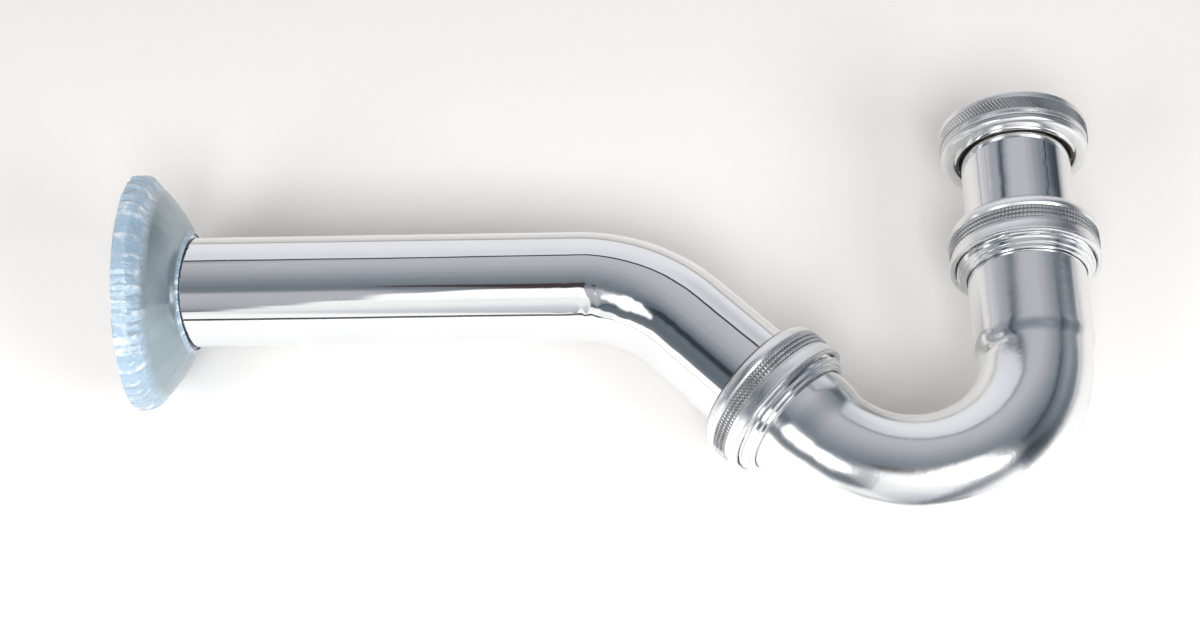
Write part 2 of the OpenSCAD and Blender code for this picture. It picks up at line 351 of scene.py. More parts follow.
INLET_Z = -45.3
BEND = Vector((-36.0, 0.0, -70.5))
DIAGONAL = Vector((-math.sqrt(0.5), 0.0, math.sqrt(0.5)))
BEND_END = BEND + 36.0 * Vector((-math.sqrt(0.5), 0.0, -math.sqrt(0.5)))
OUTLET = BEND_END + 8.9 * DIAGONAL
ELBOW_FOOT = OUTLET + 44.0 * DIAGONAL
ELBOW = ELBOW_FOOT + 44.0 * Vector((-math.sqrt(0.5), 0.0, -math.sqrt(0.5)))
WALL_Z = ELBOW.z + 44.0
WALL_X0 = ELBOW.x
WALL_X1 = WALL_X0 - 128.0

AT_INLET = at((0, 0, INLET_Z), (1, 0, 0), (0, 0, 1))
AT_OUTLET = at(OUTLET, (math.sqrt(0.5), 0, math.sqrt(0.5)), DIAGONAL)
AT_TOP = Matrix.Identity(4)
AT_WALL = at((WALL_X1, 0, WALL_Z), (0, 0, 1), (1, 0, 0))


def path_points(pieces, step):
    """Stations along straights and bends in the plane Y = 0: (point, tangent, arc length)."""
    out = []
    run = 0.0
    for piece in pieces:
        if piece[0] == "line":
            _, start, end = piece
            start, end = Vector(start), Vector(end)
            length = (end - start).length
            count = max(2, int(math.ceil(length / step)))
            for k in range(count + 1):
                out.append((start.lerp(end, k / count), (end - start).normalized(), run + length * k / count))
        else:
            _, centre, radius, a0, a1 = piece
            length = abs(a1 - a0) * radius
            count = max(4, int(math.ceil(length / step)))
            for k in range(count + 1):
                a = a0 + (a1 - a0) * k / count
                point = Vector(centre) + radius * Vector((math.cos(a), 0, math.sin(a)))
                sign = 1 if a1 > a0 else -1
                tangent = sign * Vector((-math.sin(a), 0, math.cos(a)))
                out.append((point, tangent, run + length * k / count))
        run += length
    kept = [out[0]]
    for station in out[1:]:
        if (station[0] - kept[-1][0]).length > 1e-4:
            kept.append(station)
    return kept, run


def tube(name, pieces, outer, inner, materials, step=1.5, segments=112, dents=None):
    """A hollow tube swept along straights and bends in the plane Y = 0.

    outer and inner give the radius at an arc length; dents gives a radial change at an arc length and angle,
    where the angle is 0 on the side that faces up out of the sweep's left."""
    stations, _ = path_points(pieces, step)
    rings = []
    side = Vector((0, 1, 0))

    def ring(station, radius, dented):
        point, tangent, run = station
        up = side.cross(tangent).normalized()
        out = []
        for j in range(segments):
            turn = TAU * j / segments
            r = radius(run)
            if dented and dents:
                r += dents(run, turn)
            out.append((point + r * (math.cos(turn) * up + math.sin(turn) * side)) * MM)
        return out

    for station in stations:
        rings.append(ring(station, outer, True))
    for station in reversed(stations):
        rings.append(ring(station, inner, False))
    return finish_mesh(name, ring_grid(rings, True, True), materials)


def smooth(t):
    t = max(0.0, min(1.0, t))
    return t * t * (3 - 2 * t)


def bell(x, centre, width):
    return math.exp(-(((x - centre) / width) ** 2))


# ---------------------------------------------------------------- finishes


def finishes():
    """The trap's materials, made once."""
    store = bpy.context.scene.trap_finish
    made = {}
    for key, make in (
        ("chrome_tube", lambda: chrome("chrome_tube", store.chrome_tint, wave=0.08, rough=0.022, dust=0.12)),
        ("chrome_bend", lambda: chrome("chrome_bend", store.chrome_tint, wave=0.07, rough=0.16, peel=0.3)),
        ("chrome_nut", lambda: chrome("chrome_nut", store.chrome_tint, rough=0.26)),
        ("chrome_knurl", lambda: chrome("chrome_knurl", [0.8 * c for c in store.chrome_tint], rough=0.2)),
        # Painted shade: the groove chrome is darkened to half so the grooves of the grip rings and the band between
        # the knurl ridges read dark.
        ("chrome_groove_painted_shade", lambda: chrome("chrome_groove_painted_shade", [0.5 * c for c in store.chrome_tint], rough=0.3)),
        ("plated_brass", lambda: chrome("plated_brass", store.chrome_tint, rough=0.12)),
        # Partly the unplated brass inside the nuts, partly painted shade: it is darkened near to black so the hollows
        # inside the nuts read dark.
        ("dull_brass_and_painted_shade", lambda: chrome("dull_brass_and_painted_shade", (0.20, 0.18, 0.15), rough=0.4)),
        ("black_rubber", lambda: rubber("black_rubber", store.rubber_tint)),
        ("blue_film", lambda: film("blue_film", store.film_tint, store.film_edge)),
    ):
        made[key] = bpy.data.materials.get(key) or make()
    return made


def give(node, material):
    """Puts one material on a CAD node's object."""
    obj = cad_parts[node]
    obj.data.materials.clear()
    obj.data.materials.append(material)
    return obj


# ---------------------------------------------------------------- user settings


class TrapSizes(bpy.types.PropertyGroup):
    knurl_teeth: bpy.props.IntProperty(name="Knurl teeth", description="Ridges round the union nut", default=128, min=60, max=240)
    knurl_depth: bpy.props.FloatProperty(
        name="Knurl depth", description="Height of the union nut's ridges", default=0.0003, unit="LENGTH"
    )
    grip_teeth: bpy.props.IntProperty(name="Grip teeth", description="Ridges round each grip ring", default=128, min=60, max=240)
    floor_gap: bpy.props.FloatProperty(
        name="Sheet behind", description="Distance of the pale sheet behind the trap", default=0.040, unit="LENGTH"
    )


class TrapFinish(bpy.types.PropertyGroup):
    chrome_tint: bpy.props.FloatVectorProperty(
        name="Chrome", description="Colour of the chrome", subtype="COLOR", default=(0.81, 0.82, 0.83), min=0, max=1
    )
    rubber_tint: bpy.props.FloatVectorProperty(
        name="Rubber", description="Colour of the seals", subtype="COLOR", default=(0.018, 0.018, 0.02), min=0, max=1
    )
    film_tint: bpy.props.FloatVectorProperty(
        name="Film", description="Colour of the protective film on the dome", subtype="COLOR", default=(0.27, 0.345, 0.385), min=0, max=1
    )
    film_edge: bpy.props.FloatVectorProperty(
        name="Film edge", description="Colour of the film where it is crimped", subtype="COLOR", default=(0.36, 0.49, 0.62), min=0, max=1
    )
    sheet_tint: bpy.props.FloatVectorProperty(
        name="Sheet", description="Colour of the studio's sheet far up", subtype="COLOR", default=(0.765, 0.745, 0.73), min=0, max=1
    )
    # Painted light: the sheet below the trap is painted paler than far up, standing in for the lamps below that light
    # it.
    sheet_painted_lit_low: bpy.props.FloatVectorProperty(
        name="Sheet below", description="Colour of the studio's sheet below the trap", subtype="COLOR", default=(0.93, 0.93, 0.925), min=0, max=1
    )


# ---------------------------------------------------------------- pieces


def arc(centre_r, centre_z, radius, start, end, steps=10):
    """Points of an arc in a profile, in degrees."""
    turns = [math.radians(start + (end - start) * k / steps) for k in range(steps + 1)]
    return [(centre_r + radius * math.cos(a), centre_z + radius * math.sin(a)) for a in turns]


def rows(r, low, high, step):
    """Evenly spaced points up a straight side, for a thread to be cut into."""
    count = max(2, round(abs(high - low) / step))
    return [(r, low + (high - low) * k / count) for k in range(count + 1)]


def thread(base, depth, pitch, low, high):
    """Radial change of a helical V thread on a side of radius base, with faded ends."""

    def cut(r, z, turn):
        if abs(r - base) > 1e-6 or not low < z < high:
            return 0.0
        phase = (z / pitch - turn / TAU) % 1.0
        tooth = min(1.0, 1.25 * (1 - abs(2 * phase - 1)))
        return depth * tooth * smooth((z - low) / 0.7) * smooth((high - z) / 0.7)

    return cut


def ridge_tree():
    """Geometry Nodes that set straight ridges round an upright cylinder, in one or more rings."""
    found = bpy.data.node_groups.get("ridge_rings")
    if found:
        return found
    tree = bpy.data.node_groups.new("ridge_rings", "GeometryNodeTree")
    for name, kind in (
        ("Teeth", "NodeSocketInt"),
        ("Rings", "NodeSocketInt"),
        ("Radius", "NodeSocketFloat"),
        ("First level", "NodeSocketFloat"),
        ("Ring pitch", "NodeSocketFloat"),
        ("Length", "NodeSocketFloat"),
        ("Width", "NodeSocketFloat"),
        ("Slant", "NodeSocketFloat"),
        ("Material", "NodeSocketMaterial"),
    ):
        tree.interface.new_socket(name, in_out="INPUT", socket_type=kind)
    tree.interface.new_socket("Geometry", in_out="OUTPUT", socket_type="NodeSocketGeometry")
    maker = Maker(tree)
    given = maker.node("NodeGroupInput")

    def value(name):
        return Wire(maker, given.outputs[name])

    index = maker.wire("GeometryNodeInputIndex")
    ring = maker.wire("ShaderNodeMath", {"operation": "FLOOR"}, [index / value("Teeth")])
    turn = index * TAU / value("Teeth") + ring * 0.4
    cosine = maker.wire("ShaderNodeMath", {"operation": "COSINE"}, [turn])
    sine = maker.wire("ShaderNodeMath", {"operation": "SINE"}, [turn])
    place = maker.wire(
        "ShaderNodeCombineXYZ",
        None,
        [value("Radius") * cosine, value("Radius") * sine, value("First level") + ring * value("Ring pitch")],
    )
    points = maker.wire(
        "GeometryNodePoints", None, {"Count": value("Teeth") * value("Rings"), "Position": place}
    )
    size = maker.wire("ShaderNodeCombineXYZ", None, [value("Width"), value("Width"), value("Length")])
    bar = maker.wire("GeometryNodeMeshCube", None, {"Size": size})
    edge_out = maker.wire("GeometryNodeTransform", None, {"Geometry": bar, "Rotation": (0, 0, math.pi / 4)})
    lean = maker.wire("ShaderNodeCombineXYZ", None, [value("Slant"), 0.0, 0.0])
    leant = maker.wire("GeometryNodeTransform", None, {"Geometry": edge_out, "Rotation": lean})
    facing = maker.wire("ShaderNodeCombineXYZ", None, [0.0, 0.0, turn])
    ridges = maker.wire(
        "GeometryNodeInstanceOnPoints", None, {"Points": points, "Instance": leant, "Rotation": facing}
    )
    real = maker.wire("GeometryNodeRealizeInstances", None, {"Geometry": ridges})
    finished = maker.wire("GeometryNodeSetMaterial", None, {"Geometry": real, "Material": value("Material")})
    maker.node("NodeGroupOutput", None, [finished])
    return tree


def ridges(name, place, material, **sizes):
    """A plain mesh object of ridges made by ridge_tree, in metres, at its place."""
    tree = ridge_tree()
    seed = bpy.data.objects.new(name + "_seed", bpy.data.meshes.new(name + "_seed"))
    bpy.context.scene.collection.objects.link(seed)
    modifier = seed.modifiers.new("ridges", "NODES")
    modifier.node_group = tree
    sockets = {i.name: i.identifier for i in tree.interface.items_tree if i.in_out == "INPUT"}
    for key, value in dict(sizes, Material=material).items():
        modifier[sockets[key.replace("_", " ")]] = value
    edge = seed.modifiers.new("edge", "BEVEL")
    edge.width, edge.segments, edge.limit_method = 0.05 * MM, 1, "NONE"
    graph = bpy.context.evaluated_depsgraph_get()
    mesh = bpy.data.meshes.new_from_object(seed.evaluated_get(graph))
    seed.modifiers.clear()
    bpy.data.objects.remove(seed)
    mesh.transform(place)
    mesh.name = name
    mesh.materials.clear()
    mesh.materials.append(material)
    obj = bpy.data.objects.new(name, mesh)
    bpy.context.scene.collection.objects.link(obj)
    return obj


def stands_for(obj, body, slot, *nodes):
    """Lets a piece ride on a body in place of CAD nodes, which it hides; slot is not used."""
    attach(obj, body)
    if nodes:
        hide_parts(*nodes)
    return obj


class TRAP_OT_inlet(bpy.types.Operator):
    """Makes the flared inlet tube and finishes its gasket"""

    bl_idname = "trap.inlet"
    bl_label = "Inlet tube"

    def execute(self, context):
        made = finishes()
        outside = arc(17.6, -4.4, 1.6, 180, 90)
        inside = arc(17.6, -4.4, 2.4, 180, 90)
        foot = INLET_Z - 20.5
        profile = rounded([(15.2, foot, 0.2), (16.0, foot, 0.25)])
        profile += outside + [(18.9, -2.8), (19.0, -2.7), (19.0, -2.1), (18.9, -2.0)] + list(reversed(inside))
        obj = lathe("inlet_pipe", profile, AT_TOP, [made["chrome_tube"]], segments=160)
        stands_for(obj, "inlet", "chrome", "inlet_tube")
        give("top_gasket", made["black_rubber"])
        return {"FINISHED"}


class TRAP_OT_union(bpy.types.Operator):
    """Makes the knurled union nut with its thread"""

    bl_idname = "trap.union"
    bl_label = "Union nut"

    def execute(self, context):
        made = finishes()
        sizes = context.scene.trap_sizes
        high = sizes.knurl_depth / MM
        band = 21.97 - high
        profile = rounded([(17.9, -3.3, 0.1), (17.9, -4.2, 0.9), (19.8, -4.2)], 8)
        profile = profile[: -1] + arc(19.8, -2.325, 1.875, -90, 58, 16)
        profile += rounded(
            [
                (21.1, -0.5, 0.1),
                (21.1, -0.02, 0.1),
                (band, -0.02, 0.1),
                (band, 3.9, 0.1),
                (21.8, 3.9, 0.1),
                (21.8, 5.8, 0.45),
                (20.1, 5.8, 0.1),
                (19.475, 5.2),
            ]
        )
        profile += rows(19.475, 5.15, 0.35, 0.15)
        profile += [(20.175, -0.1), (20.175, -2.9), (18.3, -2.9)]
        cut = thread(19.475, 1.05, 2.309, 0.3, 5.2)
        # The nut's bore and thread wear the dull brass, darkened as painted shade in its hollow.
        obj = lathe(
            "union_nut",
            profile,
            AT_TOP,
            [made["chrome_nut"], made["dull_brass_and_painted_shade"], made["chrome_groove_painted_shade"]],
            segments=192,
            offset=lambda i, r, z, t: (cut(r, z, t), 0),
            # Painted shade: the band between the knurl ridges wears the darkened groove chrome.
            wears=lambda r, z: 1 if r < 17.92 or (r < 20.2 and z > -3.35) else 2 if abs(r - band) < 0.02 else 0,
        )
        stands_for(obj, "union", "chrome", "top_union_nut")
        width = TAU * band / sizes.knurl_teeth * MM * 0.52
        knurl = ridges(
            "union_nut_knurl",
            AT_TOP,
            made["chrome_knurl"],
            Teeth=sizes.knurl_teeth,
            Rings=1,
            Radius=(21.97 * MM - width * math.sqrt(0.5)),
            First_level=1.95 * MM,
            Ring_pitch=0.0,
            Length=3.85 * MM,
            Width=width,
            Slant=math.radians(32),
        )
        stands_for(knurl, "union", "chrome")
        return {"FINISHED"}


class TRAP_OT_bend(bpy.types.Operator):
    """Makes the U-bend with its two widened sockets and the wrinkles of its bending"""

    bl_idname = "trap.bend"
    bl_label = "U-bend"

    def execute(self, context):
        made = finishes()
        top = INLET_Z + 8.3
        leg = top - BEND.z
        arc_length = math.radians(135) * 36.0
        end = BEND_END + (8.9 + 8.3) * DIAGONAL
        pieces = [
            ("line", (0, 0, top), (0, 0, BEND.z)),
            ("arc", BEND, 36.0, 0.0, -math.radians(135)),
            ("line", BEND_END, end),
        ]
        first = top - (INLET_Z - 22.5)
        last = leg + arc_length + (8.9 - 5.2)

        def outer(run):
            wide = max(1 - smooth((run - first + 1.2) / 4.4), smooth((run - last + 7.0) / 9.0))
            return 15.95 + 1.1 * wide

        def inner(run):
            wide = max(1 - smooth((run - first - 0.2) / 2.2), smooth((run - last + 5.0) / 5.0))
            return 15.1 + 1.05 * wide

        spots = [(leg + 1.0, -0.75, 1.3, 0.16, -0.45), (leg + 3.6, -0.55, 1.2, 0.2, -0.3), (leg - 1.4, -0.95, 1.0, 0.14, 0.25)]
        spots += [(leg + arc_length - 2.0, -0.35, 1.6, 0.16, -0.35), (leg + arc_length - 5.5, -0.55, 1.5, 0.14, 0.2)]

        def dents(run, turn):
            turn = (turn + math.pi) % TAU - math.pi
            change = sum(h * bell(run, a, w) * bell(turn, t, v) for a, t, w, v, h in spots)
            bent = smooth((run - leg + 4) / 10) * (1 - smooth((run - leg - arc_length + 2) / 6))
            here = Vector((run * 0.11, 2.2 * math.cos(turn), 2.2 * math.sin(turn)))
            return min(change + 0.045 * bent * noise.noise(here), 0.0 if abs(turn) > 2.6 else 0.3)

        obj = tube("bend_tube", pieces, outer, inner, [made["chrome_bend"]], step=0.7, segments=144, dents=dents)
        stands_for(obj, "bend", "chrome", "u_bend")
        return {"FINISHED"}


class TRAP_OT_joints(bpy.types.Operator):
    """Makes the collars and the slip nuts, and finishes the friction rings and the seals"""

    bl_idname = "trap.joints"
    bl_label = "Slip joints"

    def execute(self, context):
        made = finishes()
        for side, place in (("inlet", AT_INLET), ("outlet", AT_OUTLET)):
            self.collar(side, place, made)
            self.slip_nut(side, place, made, context.scene.trap_sizes)
            give(side + "_friction_ring", made["plated_brass"])
            give(side + "_seal", made["black_rubber"])
        return {"FINISHED"}

    def collar(self, side, place, made):
        profile = rounded(
            [
                (17.1, 0.0, 0.1),
                (18.35, 0.0, 0.3),
                (18.35, 1.1, 0.15),
                (19.3, 1.1, 0.35),
                (19.3, 2.4, 0.25),
                (19.45, 2.4),
                (19.85, 2.8),
            ]
        )
        profile += rows(19.85, 2.85, 10.75, 0.12)
        profile += rounded([(19.85, 10.8), (19.45, 11.2, 0.1), (18.4, 11.2, 0.1), (16.6, 9.2), (16.15, 9.2), (16.15, 8.3), (17.1, 8.3)])
        cut = thread(19.85, -0.7, 1.5, 2.8, 10.8)
        obj = lathe(
            side + "_thread_collar",
            profile,
            place,
            [made["plated_brass"]],
            segments=144,
            offset=lambda i, r, z, t: (cut(r, z, t), 0),
        )
        stands_for(obj, "bend", "brass", side + "_collar")

    def slip_nut(self, side, place, made, sizes):
        profile = rounded(
            [
                (20.4, 3.6, 0.15),
                (21.75, 3.6, 0.4),
                (21.75, 4.5, 0.3),
                (21.42, 4.75, 0.3),
                (21.42, 7.9, 0.1),
            ]
        )
        for k in range(3):
            foot = 8.0 + 1.33 * k
            profile += rounded(
                [(21.15, foot, 0.05), (21.15, foot + 0.3, 0.05), (21.46, foot + 0.36, 0.08), (21.46, foot + 1.3, 0.08)]
            )
        profile += [(21.15, 12.02), (21.15, 12.3)]
        profile += arc(17.4, 12.9, 4.2, 0, 90, 18)
        profile += rounded([(17.2, 17.1), (17.0, 16.9), (17.0, 15.5), (18.8, 15.5, 0.1), (18.8, 12.4), (20.0, 11.8)])
        profile += rows(20.0, 11.75, 4.05, 0.14)
        cut = thread(20.0, 0.65, 1.5, 4.0, 11.8)
        # The nut's bore and thread wear the dull brass, darkened as painted shade in its hollow.
        obj = lathe(
            side + "_nut",
            profile,
            place,
            [made["chrome_nut"], made["dull_brass_and_painted_shade"], made["chrome_groove_painted_shade"]],
            segments=176,
            offset=lambda i, r, z, t: (cut(r, z, t), 0),
            # Painted shade: the grooves between the grip rings wear the darkened groove chrome.
            wears=lambda r, z: 1 if r < 17.3 or (r < 20.3 and z > 4.0) else 2 if r < 21.32 and 7.9 < z < 12.2 else 0,
        )
        body = side + "_nut"
        stands_for(obj, body, "chrome", side + "_slip_nut")
        width = TAU * 21.6 / sizes.grip_teeth * MM * 0.5
        grip = ridges(
            side + "_nut_grip",
            place,
            made["chrome_knurl"],
            Teeth=sizes.grip_teeth,
            Rings=3,
            Radius=21.76 * MM - width * math.sqrt(0.5),
            First_level=(8.0 + 0.82) * MM,
            Ring_pitch=1.33 * MM,
            Length=0.92 * MM,
            Width=width,
            Slant=0.0,
        )
        stands_for(grip, body, "chrome")


class TRAP_OT_wall_tube(bpy.types.Operator):
    """Makes the wall tube with its elbow and the ripples of its bending"""

    bl_idname = "trap.wall_tube"
    bl_label = "Wall tube"

    def execute(self, context):
        made = finishes()
        start = OUTLET - 4.0 * DIAGONAL
        pieces = [
            ("line", start, ELBOW_FOOT),
            ("arc", ELBOW, 44.0, math.radians(45), math.radians(90)),
            ("line", (WALL_X0, 0, WALL_Z), (WALL_X1, 0, WALL_Z)),
        ]
        bend_start = (ELBOW_FOOT - start).length
        bend_end = bend_start + math.radians(45) * 44.0

        def dents(run, turn):
            bent = smooth((run - bend_start + 22) / 16) * (1 - smooth((run - bend_end - 2) / 14))
            if bent == 0.0:
                return 0.0
            low = max(0.0, math.cos(turn - math.pi * 1.18)) ** 2
            wave = noise.noise(Vector((run * 0.40, 2.2 * math.cos(turn), 2.2 * math.sin(turn))))
            fine = noise.noise(Vector((run * 0.75, 4.0 * math.cos(turn), 4.0 * math.sin(turn) + 7)))
            pucker = bell(run, bend_end - 5, 6)
            return bent * low * (0.03 * wave + 0.022 * fine + pucker * (0.08 * wave + 0.06 * fine - 0.06))

        obj = tube(
            "wall_pipe",
            pieces,
            lambda run: 16.0,
            lambda run: 15.2,
            [made["chrome_tube"]],
            step=1.0,
            segments=144,
            dents=dents,
        )
        stands_for(obj, "outlet", "chrome", "wall_tube")
        return {"FINISHED"}


def dip(r, turn):
    """How far the flange's mouth is pressed back on the side that the film was pulled to."""
    return 1.5 * smooth((23.0 - r) / 6.0) * bell(turn, 2.1, 0.8)


def dome_outline(out, hole, steps=16):
    """The pressed outline of the flange from its rim to a hole, moved outwards by a distance."""
    bend = Vector((30.75, 2.5))
    chord = Vector((16.6, 16.2)) - bend
    inner = 44.0 - 3.0
    along = (chord.length + (inner**2 - 44.0**2) / chord.length) / 2
    aside = math.sqrt(inner**2 - along**2)
    centre = bend + (along * chord + aside * Vector((-chord.y, chord.x))) / chord.length
    joined = math.degrees(math.atan2(bend.y - centre.y, bend.x - centre.x))
    far = 44.0 + out
    last = math.degrees(math.acos((hole - centre.x) / far))
    points = [(33.75 + out, 0.0), (33.75 + out, 1.2)]
    points += arc(*bend, 3.0 + out, 0, joined, 8)
    return points + arc(*centre, far, joined, last, steps)[1:]


class TRAP_OT_flange(bpy.types.Operator):
    """Makes the pressed wall flange and the crimped film that protects it"""

    bl_idname = "trap.flange"
    bl_label = "Wall flange"

    def execute(self, context):
        made = finishes()
        profile = dome_outline(0.0, 17.0) + list(reversed(dome_outline(-0.8, 17.0)))
        bell_piece = lathe(
            "flange_bell", profile, AT_WALL, [made["chrome_nut"]], segments=160, offset=lambda i, r, z, t: (0, -dip(r, t))
        )
        stands_for(bell_piece, "flange", "chrome", "wall_flange")
        self.film(made)
        return {"FINISHED"}

    def film(self, made):
        skin = dome_outline(0.06, 17.6, 30)
        lip = [(17.35, skin[-1][1] + 0.1), (17.1, skin[-1][1] + 0.35), (17.0, skin[-1][1] + 0.7)]
        line = [(skin[1][0], 0.25 + 0.24 * k) for k in range(4)] + skin[1:] + lip
        total = len(line)
        run = [0.0]
        for a, b in zip(line, line[1:]):
            run.append(run[-1] + math.dist(a, b))
        around = 560

        def pleat(turn, s):
            """Height of the crimped folds, from the rim over its bend."""
            c, d = math.cos(turn), math.sin(turn)
            broad = noise.noise(Vector((c * 9, d * 9, s * 0.05 + 3)))
            fine = noise.noise(Vector((c * 22, d * 22, s * 0.12)))
            sharp = 1 - abs(noise.noise(Vector((c * 14, d * 14, s * 0.08 + 9)))) * 2.4
            rim = 1 - smooth((s - 4.4 - 2.4 * broad) / 4.0)
            top = smooth((s - run[-5]) / 1.5)
            folds = 0.22 + 0.42 * broad + 0.24 * fine + 0.2 * max(0.0, sharp)
            round_side = smooth((1 / max(abs(d), 0.2) - 1.0) / 0.03)
            return (max(0.0, folds) * rim + 0.12 * max(0.0, broad + 0.2)) * round_side + 0.3 * top * max(-0.2, fine)

        rings = []
        for j in range(around):
            turn = TAU * j / around
            outer, under = [], []
            for i, (r, z) in enumerate(line):
                a = Vector(line[max(0, i - 1)])
                b = Vector(line[min(total - 1, i + 1)])
                way = (b - a).normalized()
                out = Vector((way.y, -way.x))
                height = pleat(turn, run[i])
                for rise, side in ((height + 0.08, outer), (height, under)):
                    rr, zz = r + out.x * rise, max(0.05, z - dip(r, turn) + out.y * rise)
                    side.append(AT_WALL @ Vector((rr * math.cos(turn) * MM, rr * math.sin(turn) * MM, zz * MM)))
            rings.append(outer + list(reversed(under)))
        obj = finish_mesh("flange_wrap", ring_grid(rings, True, True), [made["blue_film"]], 60)
        stands_for(obj, "flange", "film", "flange_film")


# ---------------------------------------------------------------- studio

CAMERA_AIM = Vector((-123.21, 0.0, -55.14))
CAMERA_AZ = math.radians(2.34)
CAMERA_EL = math.radians(-29.8)
CAMERA_ROLL = math.radians(0.36)
CAMERA_FAR = 633.84
FOCAL_PIXELS = 2200.0


def camera_axes():
    ahead = Vector(
        (
            -math.sin(CAMERA_AZ) * math.cos(CAMERA_EL),
            math.cos(CAMERA_AZ) * math.cos(CAMERA_EL),
            -math.sin(CAMERA_EL),
        )
    )
    right = ahead.cross(Vector((0, 0, 1))).normalized()
    up = right.cross(ahead)
    c, s = math.cos(CAMERA_ROLL), math.sin(CAMERA_ROLL)
    return ahead, c * right + s * up, -s * right + c * up


def curve(x, stops):
    """A smooth line through (place, level) stops."""
    if x <= stops[0][0]:
        return stops[0][1]
    for (x0, y0), (x1, y1) in zip(stops, stops[1:]):
        if x <= x1:
            return y0 + (y1 - y0) * smooth((x - x0) / (x1 - x0))
    return stops[-1][1]


# The room as polished metal shows it: az is the turn to the right of the camera's side, el the rise above level.
# Brightness from below level up to the ceiling's edge, straight ahead and then round the room
RISE = [(-40, 0.20), (-20, 0.19), (-12, 0.23), (0, 0.31), (10, 0.38), (20, 0.44), (32, 0.48), (40, 0.50)]
ROUND = [
    (-90, 1.3), (-78, 1.1), (-66, 0.75), (-55, 0.75), (-50, 0.6), (-47, 0.22), (-42, 0.18), (-37, 0.6), (-28, 0.9), (-22, 1.0),
    (8, 1.0), (20, 0.85), (32, 0.66), (44, 0.5), (54, 0.5), (63, 0.75), (74, 0.5), (82, 0.4), (89, 1.8),
]
# Upper edge of the two bright panels below level, and how they darken to the right and down
PANELS = [
    (-78, -50), (-60, -60), (-46, -64), (-38, -61), (-31, -57), (-22, -50), (-15, -37), (-11, -32), (-4, -32),
    (2, -32), (8, -25), (14, -18), (20, -13), (27, -14), (34, -20), (42, -28), (52, -34), (90, -34),
]
RIGHT = [(34, 1.0), (42, 0.8), (50, 0.4), (60, 0.24), (68, 0.26), (76, 0.55), (82, 0.8), (90, 0.97)]
LOWER = [(-84, 0.46), (-76, 0.56), (-70, 0.66), (-64, 0.84), (-56, 0.93), (-48, 1.2), (-40, 1.25)]


def spot(az, el, at_az, at_el, wide, high):
    return math.exp(-(((az - at_az) / wide) ** 2) - ((el - at_el) / high) ** 2)


def room_light(az, el):
    """Colour of the room in a direction in degrees."""
    near = smooth((el - 29.3) / 1.6)
    turned = az - 9 * near if -70 < az < 0 else az  # the upright parts of the room stand further out above its rail
    level = curve(el, RISE) * curve(turned, ROUND)
    level *= 1 - 0.9 * bell(az, 47 + 10 * near, 2.6) * smooth((el + 20) / 10)
    level *= 1 - 0.7 * near * smooth((az - 57) / 6) * (1 - smooth((az - 88) / 6))
    level *= 1 - 0.8 * spot(az, el, 65, -22, 10, 9)

    edge = 36.2 + 5.5 * smooth((az + 28) / 36) + 0.15 * max(0.0, az - 15)
    ceiling = 0.77 - 0.08 * (1 - smooth((el - 46) / 22))
    ceiling -= 0.36 * smooth((az - 5) / 45) * (1 - smooth((el - 46) / 24))
    level += (ceiling - level) * smooth((el - edge) / 1.2 + 0.5)
    level *= 1 - 0.93 * smooth(2.0 - abs(el - edge)) * (1 - 0.6 * smooth((az - 15) / 20))

    crisp = 2.0 if -50 < az < 4 else 5.0
    lit = curve(el, LOWER) * (curve(az, RIGHT) if az > 34 else 1.0)
    lit *= 1 - 0.16 * bell(az, -16, 12) * smooth((el + 60) / 10)
    lit += (0.97 - lit) * smooth((-46 - az) / 16) * smooth((-58 - el) / 6)
    below = smooth((curve(az, PANELS) - el) / crisp + 0.5)
    level += (lit - level) * below
    level += 0.25 * smooth((az + 50) / 8) * smooth((-11 - az) / 6) * smooth((-26 - el) / 8) * (1 - below)
    lobe = smooth((az + 60) / 8) * smooth((-29 - az) / 6) * smooth((el + 45) / 6) * smooth((-19 - el) / 5)
    level += (1.15 - level) * lobe
    level += (1.5 - level) * smooth((-76 - az) / 4) * smooth((el + 56) / 8) * smooth((-8 - el) / 6)
    down = math.degrees(math.atan2(-math.sin(math.radians(el)), math.cos(math.radians(el)) * math.cos(math.radians(az))))
    level *= 1 - 0.95 * smooth((down - 87.2) / 1.0) * smooth((-60 - el) / 4)

    along = smooth((az + 13) / 4.5)
    height = (1.6 + 3.0 * along) * (1 - smooth((az - 3) / 3))
    wedge = smooth((height - abs(el + 23.0 + 3.2 * along)) / 1.2 + 0.5) * smooth((az + 15) / 2)
    level += (0.045 - level) * wedge
    cores = spot(az, el, -41, -31, 8, 6.5) + spot(az, el, 41, -33, 8, 6.5)
    level = level / 0.82 + 5.0 * cores
    cold = 1 - smooth(level / 0.55)
    warm = smooth((level - 0.85) / 0.2)
    red, blue = 0.985 - 0.17 * cold + 0.02 * warm, 1.055 + 0.13 * cold - 0.065 * warm
    return level * (red + 0.5 * wedge), level, level * (blue - 0.1 * wedge)


